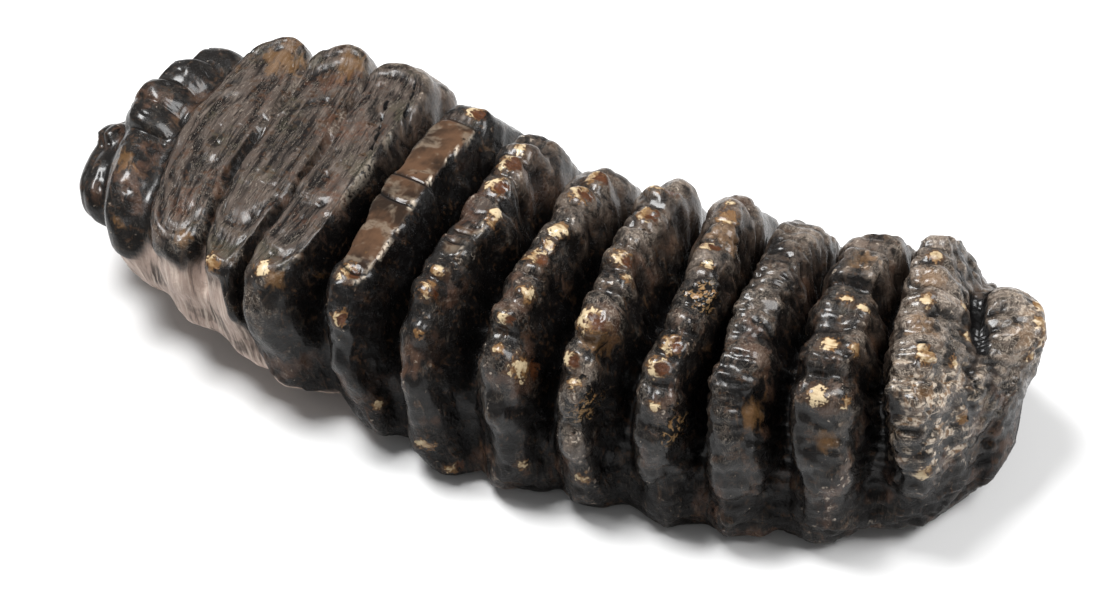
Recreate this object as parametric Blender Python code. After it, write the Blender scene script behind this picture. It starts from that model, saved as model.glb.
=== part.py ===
"""Fossil stegodon molar: one tooth, lying on its root side with the chewing face up.

Fourteen transverse enamel ridges stand in a row that bends like a banana. The four at the -X end are
worn down to a rough platform, the rest keep their rows of knobs. Each ridge has its own outline in an
upright plane across the tooth, and the surface is drawn through those outlines one after another, with
a valley between each two. +X runs along the tooth towards the unworn end and +Z is up. The origin is
at the middle of the tooth's box, on the surface that it rests on.
"""
import math
from collections import namedtuple

import bmesh
import bpy
import numpy as np
from mathutils import Vector, noise

MM = 0.001

# One ridge of enamel, lengths in millimetres.
# along, across: middle of the ridge in plan; turn: how far its plane is turned from straight across
# far, near: half widths; top, bottom: heights; lean: how far the foot stands ahead of the crest
# worn: height lost to chewing, below zero where the crest starts lower and keeps all its knobs
# gaps: depth of the valley to the next ridge, on the far and near halves of the top and on the walls
# sway: how far the crest wanders along the tooth at SWAY_ANGLES
# knob: how strongly the knobs stand out; reach: how far they go down the flanks
# knobs: their places, in degrees round the ridge, and sizes
Ridge = namedtuple("Ridge", "along across turn far near top bottom lean worn gaps sway knob reach knobs")

RIDGES = (
    Ridge(-137, 22, 8, 10, 30, 39, 21, 4, -2, (5, 5, 4), (0, -1, -4, -5, -2), 0.9, 0.8,
          ((121, 11), (157, 12), (186, 10))),
    Ridge(-122, 23, 6, 37, 43, 50, 12, 6, -2, (3, 5, 3), (-2, -9, -12, -9, -5), 1.2, 0.9,
          ((14, 9), (37, 11), (61, 12), (84, 13), (104, 12))),
    Ridge(-104, 20, 5, 41, 50, 50, 8, 8, 9, (1, 4, 1.5), (0, 0, -2, -2, 2), 1, 0.8, ((38, 16), (148, 9))),
    Ridge(-86, 17, 5, 46, 53, 52, 5, 11, 9, (2, 4, 2), (0, 3, 3, 2, 2), 1, 0.8, ((38, 16), (150, 9))),
    Ridge(-69, 13, 8, 50, 53, 54, 0, 13, 7, (21, 21, 8), (1, 3, 5, 4, -1), 1, 0.8,
          ((27, 9), (41, 13), (145, 9))),
    Ridge(-42, 5, 10, 50, 50, 57, -4, 14, 3.3, (21, 21, 9), (3, 0, -2, 0, 0), 0.8, 0.6,
          ((45, 10), (60, 12), (75, 12), (92, 10), (107, 12), (121, 11), (133, 8), (148, 8), (165, 8),
           (184, 8))),
    Ridge(-21, 1, 8, 48, 52, 57, -6, 10, 1, (21, 21, 9), (2, 0, 3, 0, 0), 0.9, 0.5,
          ((41, 8), (54, 8), (64, 8), (76, 9), (89, 9), (101, 8), (111, 9), (120, 7), (129, 8), (142, 8),
           (158, 8), (186, 8))),
    Ridge(1, -5, 6, 48, 48, 58, -6, 12, 0.5, (21, 21, 9), (2, 2, 2, 0, 1), 1, 0.5,
          ((40, 9), (54, 9), (66, 9), (77, 7), (86, 8), (94, 8), (103, 9), (116, 9), (126, 8), (141, 11),
           (158, 9))),
    Ridge(21, -7, 5, 49, 45, 59, -6, 10, 0.5, (20, 20, 9), (2, 2, 1, 4, 0), 1, 0.55,
          ((38, 10), (53, 11), (67, 9), (79, 8), (90, 10), (100, 8), (117, 14), (133, 9), (146, 12),
           (162, 9))),
    Ridge(42, -10, 4, 52, 41, 60, -6, 10, 0.5, (20, 20, 9), (2, 3, 6, 3, 1), 1, 0.55,
          ((44, 9), (57, 11), (68, 9), (78, 9), (94, 15), (108, 9), (118, 9), (127, 9), (139, 11),
           (153, 12))),
    Ridge(63, -9, 4, 46, 42, 60, -6, 8, 0.3, (17, 17, 8), (3, 0, -1, 0, 2), 0.45, 0.8,
          ((36, 8), (48, 10), (57, 8), (65, 9), (76, 10), (85, 8), (93, 9), (105, 10), (117, 9), (127, 9),
           (138, 8))),
    Ridge(85, -8, 2, 45, 37, 60, -3, 10, 0.3, (15, 15, 7), (3, 1, 1, 1, 1), 1, 0.85,
          ((50, 14), (68, 14), (90, 15), (111, 15), (131, 15))),
    Ridge(107, -2, -2, 43, 34, 60, 0, 10, 0.3, (5, 3, 0.5), (5, -2, -1, 0, 3), 0.9, 0.9,
          ((38, 8), (50, 9), (61, 9), (72, 10), (85, 10), (98, 10), (112, 14), (130, 12))),
    Ridge(129, 12, -12, 28, 29, 44, 3, -6, -6, (6, 6, 2), (4, 5, 6, 1, -3), 0.85, 0.8, ((76, 34),)),
)
LAST = len(RIDGES) - 1
SWAY_ANGLES = (0, 25, 57, 90, 123, 155, 200)

# How square a ridge's outline is: far shoulder, near shoulder, foot
SQUARE_FAR, SQUARE_NEAR, SQUARE_FOOT = 2.7, 3.0, 3.4
MIDDLE_HEIGHT = 0.36
# How fat a ridge is against its valleys: at the far side, along the top, on the near wall
FAT_FAR, FAT_TOP, FAT_NEAR = 4.4, 1.8, 1.3
# How much gentler a ridge's slope is ahead of its crest than behind it
SKEW = 0.22
# Sine of the angle where the chewing face starts, and the sine over which it does; then the walls' foot
CROWN_START, CROWN_SPAN = -0.05, 0.87
FOOT_START, FOOT_SPAN = -0.44, 0.59
# Degrees at which the near half of the chewing face starts, and the degrees over which it does
NEAR_START, NEAR_SPAN = 70, 40

# Knobs: half width and height as shares of the size, swelling of the ridge
KNOB_WIDTH, KNOB_HEIGHT, KNOB_SWELL = 0.55, 0.30, 0.014
KNOB_USUAL = 4

# Chewing: doming of the worn face, softness of its edge, height that unworn crests keep above it
WEAR_DOME, WEAR_EDGE, SPARED_HEIGHT = 0.0016, 1.6, 3
# Height that the far ends of worn ridges keep above it, and the degrees where that starts and is full
SPARED_END, SPARED_FROM, SPARED_SPAN = 4, 52, 20
# How much fatter ridges are that are worn by more than a little, so that only narrow grooves part them
WORN_FATNESS, WORN_LITTLE = 2.5, 4
# How much fatter the ridges get towards the unworn end, from this ridge on
LATE_FATNESS, LATE_FROM = 1.2, 8.6
# Share of a wall's valleys that is left at its foot
FOOT_SCALLOP = 0.3

# The end caps: how far they go past the outermost ridges, in ridges and in millimetres
CAP_SPAN = 0.5
CAP_REACH = (7, 7)
# Lumps of the whole surface: (height, width) in millimetres
LUMPS = ((1.8, 24.0), (1.1, 9.0))
# Middle of the tooth's box in plan, before it is moved to the origin
BOX_MIDDLE = (-4.09, 4.74)

RINGS_PER_RIDGE = 7
SEGMENTS = 54
# Shifts the segments from the underside to the crests
CROWDING = 0.45
FLAT_TOLERANCE = 1e-6


def smooth(t):
    """S-shaped ramp from 0 to 1."""
    t = np.clip(t, 0, 1)
    return t * t * (3 - 2 * t)


def outline_radius(ridge, cosine, sine):
    """Distance from the ridge's middle to its crest line, a rounded box seen along the tooth."""
    middle = ridge.bottom + MIDDLE_HEIGHT * (ridge.top - ridge.bottom)
    wide = np.where(cosine > 0, ridge.far, ridge.near)
    high = np.where(sine > 0, ridge.top - middle, middle - ridge.bottom)
    shoulder = np.where(cosine > 0, SQUARE_FAR, SQUARE_NEAR)
    power = np.where(sine > 0, shoulder, SQUARE_FOOT)
    return (np.abs(cosine / wide) ** power + np.abs(sine / high) ** power) ** (-1 / power)


def knob_heights(ridge, degrees, radius):
    """Height of the ridge's knobs at each angle, in millimetres."""
    height = np.zeros_like(degrees)
    for place, size in ridge.knobs:
        off = np.radians(degrees - place) * radius / (KNOB_WIDTH * size)
        height = np.maximum(height, size * np.clip(1 - off * off, 0, 1))
    return height * ridge.knob


def tooth_surface(phase, angle, lumps=0.0):
    """Points in millimetres: phase counts the ridges, angle goes round the tooth from the far side."""
    degrees = np.degrees(angle)
    cosine, sine = np.cos(angle), np.sin(angle)
    inner = np.clip(phase, 0, LAST)
    lower = np.clip(np.floor(inner).astype(int), 0, LAST - 1)
    nearest = np.rint(inner).astype(int)
    share = inner - lower
    every = np.arange(len(phase))

    def between(name):
        values = np.array([getattr(ridge, name) for ridge in RIDGES], float)
        return values[lower] * (1 - share) + values[lower + 1] * share

    def loft(table):
        return table[lower, every] * (1 - share) + table[lower + 1, every] * share

    radius = loft(np.stack([outline_radius(ridge, cosine, sine) for ridge in RIDGES]))
    sway = loft(np.stack([np.interp(degrees, SWAY_ANGLES, (0, *ridge.sway, 0)) for ridge in RIDGES]))
    knob = np.stack([knob_heights(ridge, degrees, radius) for ridge in RIDGES])[nearest, every]
    top, bottom, worn = between("top"), between("bottom"), between("worn")
    middle = bottom + MIDDLE_HEIGHT * (top - bottom)

    # 1 on the chewing face and 0 on the walls, whose valleys die out towards the foot
    crown = smooth((sine - CROWN_START) / CROWN_SPAN)
    above_foot = FOOT_SCALLOP + (1 - FOOT_SCALLOP) * smooth((sine - FOOT_START) / FOOT_SPAN)
    near_half = smooth((degrees - NEAR_START) / NEAR_SPAN)
    far_gap, near_gap, wall_gap = np.array([ridge.gaps for ridge in RIDGES], float)[lower].T
    gap = far_gap * (1 - near_half) + near_gap * near_half
    depth = wall_gap * above_foot * (1 - crown) + (gap + worn) * crown

    # 0 on a crest and 1 in a valley
    fatness = FAT_FAR + (FAT_TOP - FAT_FAR) * crown * smooth(1.6 - 1.8 * cosine)
    fatness = fatness + (FAT_NEAR - FAT_FAR) * (1 - crown) * smooth(-2 * cosine)
    fatness = fatness + WORN_FATNESS * crown * smooth((worn - WORN_LITTLE) / WORN_LITTLE)
    fatness = fatness + LATE_FATNESS * crown * smooth(inner - LATE_FROM)
    fatness = fatness * (1 - SKEW * crown * np.sign(inner - nearest))
    reach = np.array([ridge.reach for ridge in RIDGES])[nearest]
    swelling = 1 + KNOB_SWELL * (knob - KNOB_USUAL) * reach * crown
    off_crest = np.clip(2 * np.abs(inner - nearest) / swelling, 0, 1)
    valley = (1 - np.cos(np.pi * off_crest ** fatness)) / 2

    bump = KNOB_HEIGHT * knob * np.clip(1 - (off_crest / reach) ** 2, 0, 1) * smooth(3 * crown)
    radius = radius + worn * crown - valley * depth + bump + lumps
    sideways = radius * cosine
    height = middle + radius * sine

    # chewing takes the crests down to a slightly domed face with soft edges
    limit = top + np.clip(SPARED_HEIGHT - worn, 0, None) - WEAR_DOME * sideways ** 2 * smooth(worn / 3)
    limit = limit + SPARED_END * smooth((SPARED_FROM - degrees) / SPARED_SPAN)
    above = height - limit
    height = limit + (above - np.sqrt(above ** 2 + WEAR_EDGE ** 2)) / 2

    foot = np.clip((top - height) / (top - bottom), 0, 1.2)
    forward = between("lean") * foot + sway

    # the end caps close like the halves of an egg
    past = np.clip(np.abs(phase - inner) / CAP_SPAN, 0, 1)
    shrink = np.sqrt(1 - past ** 2)
    beyond = np.where(phase < inner, -CAP_REACH[0], CAP_REACH[1]) * past
    sideways, forward = sideways * shrink, forward * shrink + beyond
    height = np.maximum(middle + (height - middle) * shrink, 0)

    turn = np.radians(between("turn"))
    x = between("along") + sideways * np.sin(turn) + forward * np.cos(turn)
    y = between("across") + sideways * np.cos(turn) - forward * np.sin(turn)
    return np.stack([x - BOX_MIDDLE[0], y - BOX_MIDDLE[1], height], axis=-1)


def lump_heights(points):
    """Uneven growth of the enamel, in millimetres."""
    total = np.zeros(len(points))
    for height, width in LUMPS:
        total += height * np.array([noise.noise(Vector(point / width)) for point in points])
    return total


def build_tooth(name):
    """A sphere whose parallels become the rings along the tooth, with the underside in one flat face."""
    bm = bmesh.new()
    rings = RINGS_PER_RIDGE * len(RIDGES)
    bmesh.ops.create_uvsphere(bm, u_segments=SEGMENTS, v_segments=rings, radius=1)
    sphere = np.array([vert.co for vert in bm.verts])
    down = np.arccos(np.clip(sphere[:, 2], -1, 1)) / math.pi
    phase = down * (LAST + 2 * CAP_SPAN) - CAP_SPAN
    longitude = np.arctan2(sphere[:, 1], sphere[:, 0])
    angle = (longitude + CROWDING * np.cos(longitude)) % math.tau
    lumps = lump_heights(tooth_surface(phase, angle))
    for vert, point in zip(bm.verts, tooth_surface(phase, angle, lumps)):
        vert.co = point * MM

    flat = [face for face in bm.faces if max(vert.co.z for vert in face.verts) < FLAT_TOLERANCE]
    bmesh.ops.dissolve_faces(bm, faces=flat, use_verts=True)
    bmesh.ops.triangulate(bm, faces=bm.faces[:])
    bmesh.ops.recalc_face_normals(bm, faces=bm.faces[:])

    mesh = bpy.data.meshes.new(name)
    bm.to_mesh(mesh)
    bm.free()
    mesh.shade_smooth()
    return bpy.data.objects.new(name, mesh)


def enamel_material():
    """Dark, polished fossil enamel."""
    material = bpy.data.materials.new("fossil_enamel")
    material.use_nodes = True
    shader = material.node_tree.nodes["Principled BSDF"]
    shader.inputs["Base Color"].default_value = (0.055, 0.046, 0.040, 1)
    shader.inputs["Roughness"].default_value = 0.35
    shader.inputs["Metallic"].default_value = 0.0
    return material


def main():
    for old in list(bpy.data.objects):
        bpy.data.objects.remove(old)
    collection = bpy.data.collections.new("fossil_stegodon_molar")
    bpy.context.scene.collection.children.link(collection)
    tooth = build_tooth("molar")
    tooth.data.materials.append(enamel_material())
    collection.objects.link(tooth)


main()
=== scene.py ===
# %% [markdown]
# A fossil stegodon molar
#
# The tooth lies on its root side with the chewing face up. It is one natural piece: a row of enamel
# ridges, each like a small hill with knobs along its crest. The ridges at one end are worn down to a
# rough platform, and the others still have all their knobs. The whole row bends like a banana.
#
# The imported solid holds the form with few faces. Here one fine mesh takes its place, with wrinkles,
# pits and cracks in its surface, and one material that knows where crests, valleys and worn parts are.

# %% Load the frame and keep its box
import math
from collections import namedtuple
from types import SimpleNamespace

import bmesh
import bpy
import numpy as np
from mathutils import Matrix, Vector, noise


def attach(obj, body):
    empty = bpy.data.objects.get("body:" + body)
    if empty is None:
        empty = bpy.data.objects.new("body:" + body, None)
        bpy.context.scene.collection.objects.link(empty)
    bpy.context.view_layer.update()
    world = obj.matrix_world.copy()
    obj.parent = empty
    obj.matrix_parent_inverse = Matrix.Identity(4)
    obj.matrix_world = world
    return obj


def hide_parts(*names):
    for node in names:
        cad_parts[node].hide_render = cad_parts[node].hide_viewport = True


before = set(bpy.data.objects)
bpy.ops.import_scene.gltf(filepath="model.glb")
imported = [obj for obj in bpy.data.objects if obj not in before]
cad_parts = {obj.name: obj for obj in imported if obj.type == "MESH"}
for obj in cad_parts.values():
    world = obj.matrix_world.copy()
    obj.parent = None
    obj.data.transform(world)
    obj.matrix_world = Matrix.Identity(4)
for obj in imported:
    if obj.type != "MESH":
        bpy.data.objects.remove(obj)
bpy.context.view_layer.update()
MM = 0.001

# %% [markdown]
# The ridges
#
# On the real tooth each ridge is a plate of dentine with an enamel skin, and it stands upright across
# the tooth. A table with one row for each ridge says where it stands, how wide and high it is, how deep
# the valley after it goes, and where its knobs are. The same table made the solid, so the fine mesh
# lies on it without fitting. The crest of a ridge isn't straight: it sways along the tooth.

# %% Describe the fourteen ridges
# Lengths are in millimetres. Angles go round a ridge in degrees, from its far side over the top, and
# sway says how far the crest wanders along the tooth at SWAY_ANGLES. Knobs are (degrees, size) pairs.
Ridge = namedtuple("Ridge", "along across turn far near top bottom lean worn gaps sway knob reach knobs")

RIDGES = (
    Ridge(-137, 22, 8, 10, 30, 39, 21, 4, -2, (5, 5, 4), (0, -1, -4, -5, -2), 0.9, 0.8,
          ((121, 11), (157, 12), (186, 10))),
    Ridge(-122, 23, 6, 37, 43, 50, 12, 6, -2, (3, 5, 3), (-2, -9, -12, -9, -5), 1.2, 0.9,
          ((14, 9), (37, 11), (61, 12), (84, 13), (104, 12))),
    Ridge(-104, 20, 5, 41, 50, 50, 8, 8, 9, (1, 4, 1.5), (0, 0, -2, -2, 2), 1, 0.8, ((38, 16), (148, 9))),
    Ridge(-86, 17, 5, 46, 53, 52, 5, 11, 9, (2, 4, 2), (0, 3, 3, 2, 2), 1, 0.8, ((38, 16), (150, 9))),
    Ridge(-69, 13, 8, 50, 53, 54, 0, 13, 7, (21, 21, 8), (1, 3, 5, 4, -1), 1, 0.8,
          ((27, 9), (41, 13), (145, 9))),
    Ridge(-42, 5, 10, 50, 50, 57, -4, 14, 3.3, (21, 21, 9), (3, 0, -2, 0, 0), 0.8, 0.6,
          ((45, 10), (60, 12), (75, 12), (92, 10), (107, 12), (121, 11), (133, 8), (148, 8), (165, 8),
           (184, 8))),
    Ridge(-21, 1, 8, 48, 52, 57, -6, 10, 1, (21, 21, 9), (2, 0, 3, 0, 0), 0.9, 0.5,
          ((41, 8), (54, 8), (64, 8), (76, 9), (89, 9), (101, 8), (111, 9), (120, 7), (129, 8), (142, 8),
           (158, 8), (186, 8))),
    Ridge(1, -5, 6, 48, 48, 58, -6, 12, 0.5, (21, 21, 9), (2, 2, 2, 0, 1), 1, 0.5,
          ((40, 9), (54, 9), (66, 9), (77, 7), (86, 8), (94, 8), (103, 9), (116, 9), (126, 8), (141, 11),
           (158, 9))),
    Ridge(21, -7, 5, 49, 45, 59, -6, 10, 0.5, (20, 20, 9), (2, 2, 1, 4, 0), 1, 0.55,
          ((38, 10), (53, 11), (67, 9), (79, 8), (90, 10), (100, 8), (117, 14), (133, 9), (146, 12),
           (162, 9))),
    Ridge(42, -10, 4, 52, 41, 60, -6, 10, 0.5, (20, 20, 9), (2, 3, 6, 3, 1), 1, 0.55,
          ((44, 9), (57, 11), (68, 9), (78, 9), (94, 15), (108, 9), (118, 9), (127, 9), (139, 11),
           (153, 12))),
    Ridge(63, -9, 4, 46, 42, 60, -6, 8, 0.3, (17, 17, 8), (3, 0, -1, 0, 2), 0.45, 0.8,
          ((36, 8), (48, 10), (57, 8), (65, 9), (76, 10), (85, 8), (93, 9), (105, 10), (117, 9), (127, 9),
           (138, 8))),
    Ridge(85, -8, 2, 45, 37, 60, -3, 10, 0.3, (15, 15, 7), (3, 1, 1, 1, 1), 1, 0.85,
          ((50, 14), (68, 14), (90, 15), (111, 15), (131, 15))),
    Ridge(107, -2, -2, 43, 34, 60, 0, 10, 0.3, (5, 3, 0.5), (5, -2, -1, 0, 3), 0.9, 0.9,
          ((38, 8), (50, 9), (61, 9), (72, 10), (85, 10), (98, 10), (112, 14), (130, 12))),
    Ridge(129, 12, -12, 28, 29, 44, 3, -6, -6, (6, 6, 2), (4, 5, 6, 1, -3), 0.85, 0.8, ((76, 34),)),
)
LAST = len(RIDGES) - 1
SWAY_ANGLES = (0, 25, 57, 90, 123, 155, 200)
print(len(RIDGES), "ridges with", sum(len(ridge.knobs) for ridge in RIDGES), "knobs")

# %% [markdown]
# One ridge in its own plane
#
# Seen along the tooth, a ridge's outline is a box with round shoulders. A superellipse gives that with
# one formula: its power says how square the shoulders are. A knob is a small bump on that outline.
# Both could be drawn by hand as curves, but a formula gives any number of points, few or many.

# %% Outline of a ridge and its knobs
SQUARE_FAR, SQUARE_NEAR, SQUARE_FOOT = 2.7, 3.0, 3.4
MIDDLE_HEIGHT = 0.36
KNOB_WIDTH, KNOB_HEIGHT, KNOB_SWELL, KNOB_USUAL = 0.55, 0.30, 0.014, 4
# low on the near side the knobs run into each other, and there they stand less than half as proud as
# in the solid
NEAR_SOFTENING, NEAR_KNOBS_FROM, NEAR_KNOBS_SPAN = 0.55, 120, 20


def smooth(t):
    """S-shaped ramp from 0 to 1."""
    t = np.clip(t, 0, 1)
    return t * t * (3 - 2 * t)


def outline_radius(ridge, cosine, sine):
    """Distance from the ridge's middle to its crest line."""
    middle = ridge.bottom + MIDDLE_HEIGHT * (ridge.top - ridge.bottom)
    wide = np.where(cosine > 0, ridge.far, ridge.near)
    high = np.where(sine > 0, ridge.top - middle, middle - ridge.bottom)
    shoulder = np.where(cosine > 0, SQUARE_FAR, SQUARE_NEAR)
    power = np.where(sine > 0, shoulder, SQUARE_FOOT)
    return (np.abs(cosine / wide) ** power + np.abs(sine / high) ** power) ** (-1 / power)


def knob_heights(ridge, degrees, radius):
    """Height of the ridge's knobs at each angle."""
    height = np.zeros_like(degrees)
    for place, size in ridge.knobs:
        off = np.radians(degrees - place) * radius / (KNOB_WIDTH * size)
        height = np.maximum(height, size * np.clip(1 - off * off, 0, 1))
    soft_near = 1 - NEAR_SOFTENING * smooth((degrees - NEAR_KNOBS_FROM) / NEAR_KNOBS_SPAN)
    return height * ridge.knob * soft_near


# %% [markdown]
# From ridge to ridge
#
# The surface runs through the outlines one after another, as a loft does. Phase counts the ridges: at a
# whole number the surface is on a crest, and halfway to the next it is at the bottom of a valley.
# Chewing is a soft lid that takes off whatever stands above it. The function also tells what it knows
# of each place, such as how much was chewed away, because the relief and the material need that.

# %% The tooth's surface as a function
# how broad the crests are: 1 is a wave, and more is a broader crest with a narrower valley
FAT_FAR, FAT_TOP, FAT_NEAR = 4.4, 1.8, 1.3
TOP_FROM, TOP_SLOPE, NEAR_SLOPE = 1.6, 1.8, 2
CROWN_START, CROWN_SPAN = -0.05, 0.87
FOOT_START, FOOT_SPAN, FOOT_SCALLOP, FOOT_MOST = -0.44, 0.59, 0.3, 1.2
KNOB_CROWN = 3
NEAR_START, NEAR_SPAN = 70, 40
WEAR_DOME, WEAR_DOME_FULL, WEAR_EDGE, SPARED_HEIGHT = 0.0016, 3, 1.6, 3
SPARED_END, SPARED_FROM, SPARED_SPAN = 4, 52, 20
WORN_FATNESS, WORN_LITTLE = 2.5, 4
LATE_FATNESS, LATE_FROM = 1.2, 8.6
SKEW = 0.22
CAP_SPAN = 0.5
CAP_REACH = (7, 7)
BOX_MIDDLE = (-4.09, 4.74)
RIDGE_PITCH = 20.5
# the size of knob that goes down the flank as a full column
COLUMN_KNOB = 7

# points: in millimetres; straight: the same places on a tooth laid out straight, along, across and up
# chewed: millimetres chewed off; hollow: millimetres below the crest; ahead: millimetres past the crest
# column: 1 where a knob goes down the flank as a soft column, 0 between the columns
Skin = namedtuple("Skin", "points straight phase degrees chewed hollow ahead column")


def tooth_surface(phase, angle, lumps=0.0):
    """The skin at each pair of phase and angle."""
    degrees = np.degrees(angle)
    cosine, sine = np.cos(angle), np.sin(angle)
    inner = np.clip(phase, 0, LAST)
    lower = np.clip(np.floor(inner).astype(int), 0, LAST - 1)
    nearest = np.rint(inner).astype(int)
    share = inner - lower
    every = np.arange(len(phase))

    def between(name):
        values = np.array([getattr(ridge, name) for ridge in RIDGES], float)
        return values[lower] * (1 - share) + values[lower + 1] * share

    def loft(table):
        return table[lower, every] * (1 - share) + table[lower + 1, every] * share

    radius = loft(np.stack([outline_radius(ridge, cosine, sine) for ridge in RIDGES]))
    sway = loft(np.stack([np.interp(degrees, SWAY_ANGLES, (0, *ridge.sway, 0)) for ridge in RIDGES]))
    knob = np.stack([knob_heights(ridge, degrees, radius) for ridge in RIDGES])[nearest, every]
    top, bottom, worn = between("top"), between("bottom"), between("worn")
    middle = bottom + MIDDLE_HEIGHT * (top - bottom)

    # 1 on the chewing face and 0 on the walls, whose valleys get shallow towards the foot
    crown = smooth((sine - CROWN_START) / CROWN_SPAN)
    above_foot = FOOT_SCALLOP + (1 - FOOT_SCALLOP) * smooth((sine - FOOT_START) / FOOT_SPAN)
    near_half = smooth((degrees - NEAR_START) / NEAR_SPAN)
    far_gap, near_gap, wall_gap = np.array([ridge.gaps for ridge in RIDGES], float)[lower].T
    gap = far_gap * (1 - near_half) + near_gap * near_half
    depth = wall_gap * above_foot * (1 - crown) + (gap + worn) * crown

    # 0 on a crest and 1 in a valley
    fatness = FAT_FAR + (FAT_TOP - FAT_FAR) * crown * smooth(TOP_FROM - TOP_SLOPE * cosine)
    fatness = fatness + (FAT_NEAR - FAT_FAR) * (1 - crown) * smooth(-NEAR_SLOPE * cosine)
    fatness = fatness + WORN_FATNESS * crown * smooth((worn - WORN_LITTLE) / WORN_LITTLE)
    fatness = fatness + LATE_FATNESS * crown * smooth(inner - LATE_FROM)
    fatness = fatness * (1 - SKEW * crown * np.sign(inner - nearest))
    reach = np.array([ridge.reach for ridge in RIDGES])[nearest]
    swelling = 1 + KNOB_SWELL * (knob - KNOB_USUAL) * reach * crown
    off_crest = np.clip(2 * np.abs(inner - nearest) / swelling, 0, 1)
    valley = (1 - np.cos(np.pi * off_crest ** fatness)) / 2

    bump = KNOB_HEIGHT * knob * np.clip(1 - (off_crest / reach) ** 2, 0, 1) * smooth(KNOB_CROWN * crown)
    radius = radius + worn * crown - valley * depth + bump + lumps
    sideways = radius * cosine
    height = middle + radius * sine

    # chewing takes the crests down to a slightly domed face with soft edges
    dome = WEAR_DOME * sideways ** 2 * smooth(worn / WEAR_DOME_FULL)
    limit = top + np.clip(SPARED_HEIGHT - worn, 0, None) - dome
    limit = limit + SPARED_END * smooth((SPARED_FROM - degrees) / SPARED_SPAN)
    above = height - limit
    height = limit + (above - np.sqrt(above ** 2 + WEAR_EDGE ** 2)) / 2

    foot = np.clip((top - height) / (top - bottom), 0, FOOT_MOST)
    forward = between("lean") * foot + sway

    # the end caps close like the halves of an egg
    past = np.clip(np.abs(phase - inner) / CAP_SPAN, 0, 1)
    shrink = np.sqrt(1 - past ** 2)
    beyond = np.where(phase < inner, -CAP_REACH[0], CAP_REACH[1]) * past
    sideways, forward = sideways * shrink, forward * shrink + beyond
    height = np.maximum(middle + (height - middle) * shrink, 0)

    turn = np.radians(between("turn"))
    x = between("along") + sideways * np.sin(turn) + forward * np.cos(turn)
    y = between("across") + sideways * np.cos(turn) - forward * np.sin(turn)
    points = np.stack([x - BOX_MIDDLE[0], y - BOX_MIDDLE[1], height], axis=-1)
    straight = np.stack([inner * RIDGE_PITCH + beyond, sideways, height], axis=-1)
    hollow = valley * (wall_gap * above_foot * (1 - crown) + np.clip(gap, 0, None) * crown)
    ahead = (phase - nearest) * RIDGE_PITCH
    column = smooth(knob / COLUMN_KNOB) * crown
    return Skin(points, straight, phase, degrees, np.maximum(above, 0), hollow, ahead, column)


# %% [markdown]
# Noise
#
# No tooth grows even. A slow noise lifts and sinks the outlines, as in the solid. The fine relief uses
# the same noise at smaller sizes. Noise can be stretched: where it is looked up on the straightened
# tooth, a pattern stretched across runs along the ridges, however much the real row bends.

# %% Noise on many points
LUMPS = ((1.8, 24.0), (1.1, 9.0))


def noise_field(places, size, stretch=(1, 1, 1), seed=0.0):
    """Smooth noise from -1 to 1, with features of the given size in millimetres."""
    scaled = places / (size * np.array(stretch, float)) + seed
    return np.array([noise.noise(place) for place in scaled.tolist()])


def creases(places, size, stretch=(1, 1, 1), seed=0.0):
    """Sharp creases between smooth swellings, from -1 in a crease to 1."""
    return 2 * np.sqrt(np.abs(noise_field(places, size, stretch, seed))) - 1


def lump_heights(points):
    """Uneven growth of the enamel, in millimetres."""
    return sum(height * noise_field(points, width) for height, width in LUMPS)


# %% [markdown]
# Tips of the knobs
#
# On the real tooth the knobs' tips are rubbed through: a cream rim of enamel round a brown core that sits
# off centre, so that most rims read as crescents. Some tips are only cream, some are stained gold, and
# three big ones are porous. Each spot is placed by its ridge, its angle and how far it lies ahead of the
# crest, and stored on the mesh as an attribute. A texture over the whole tooth could not know where the
# knobs are.

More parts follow.
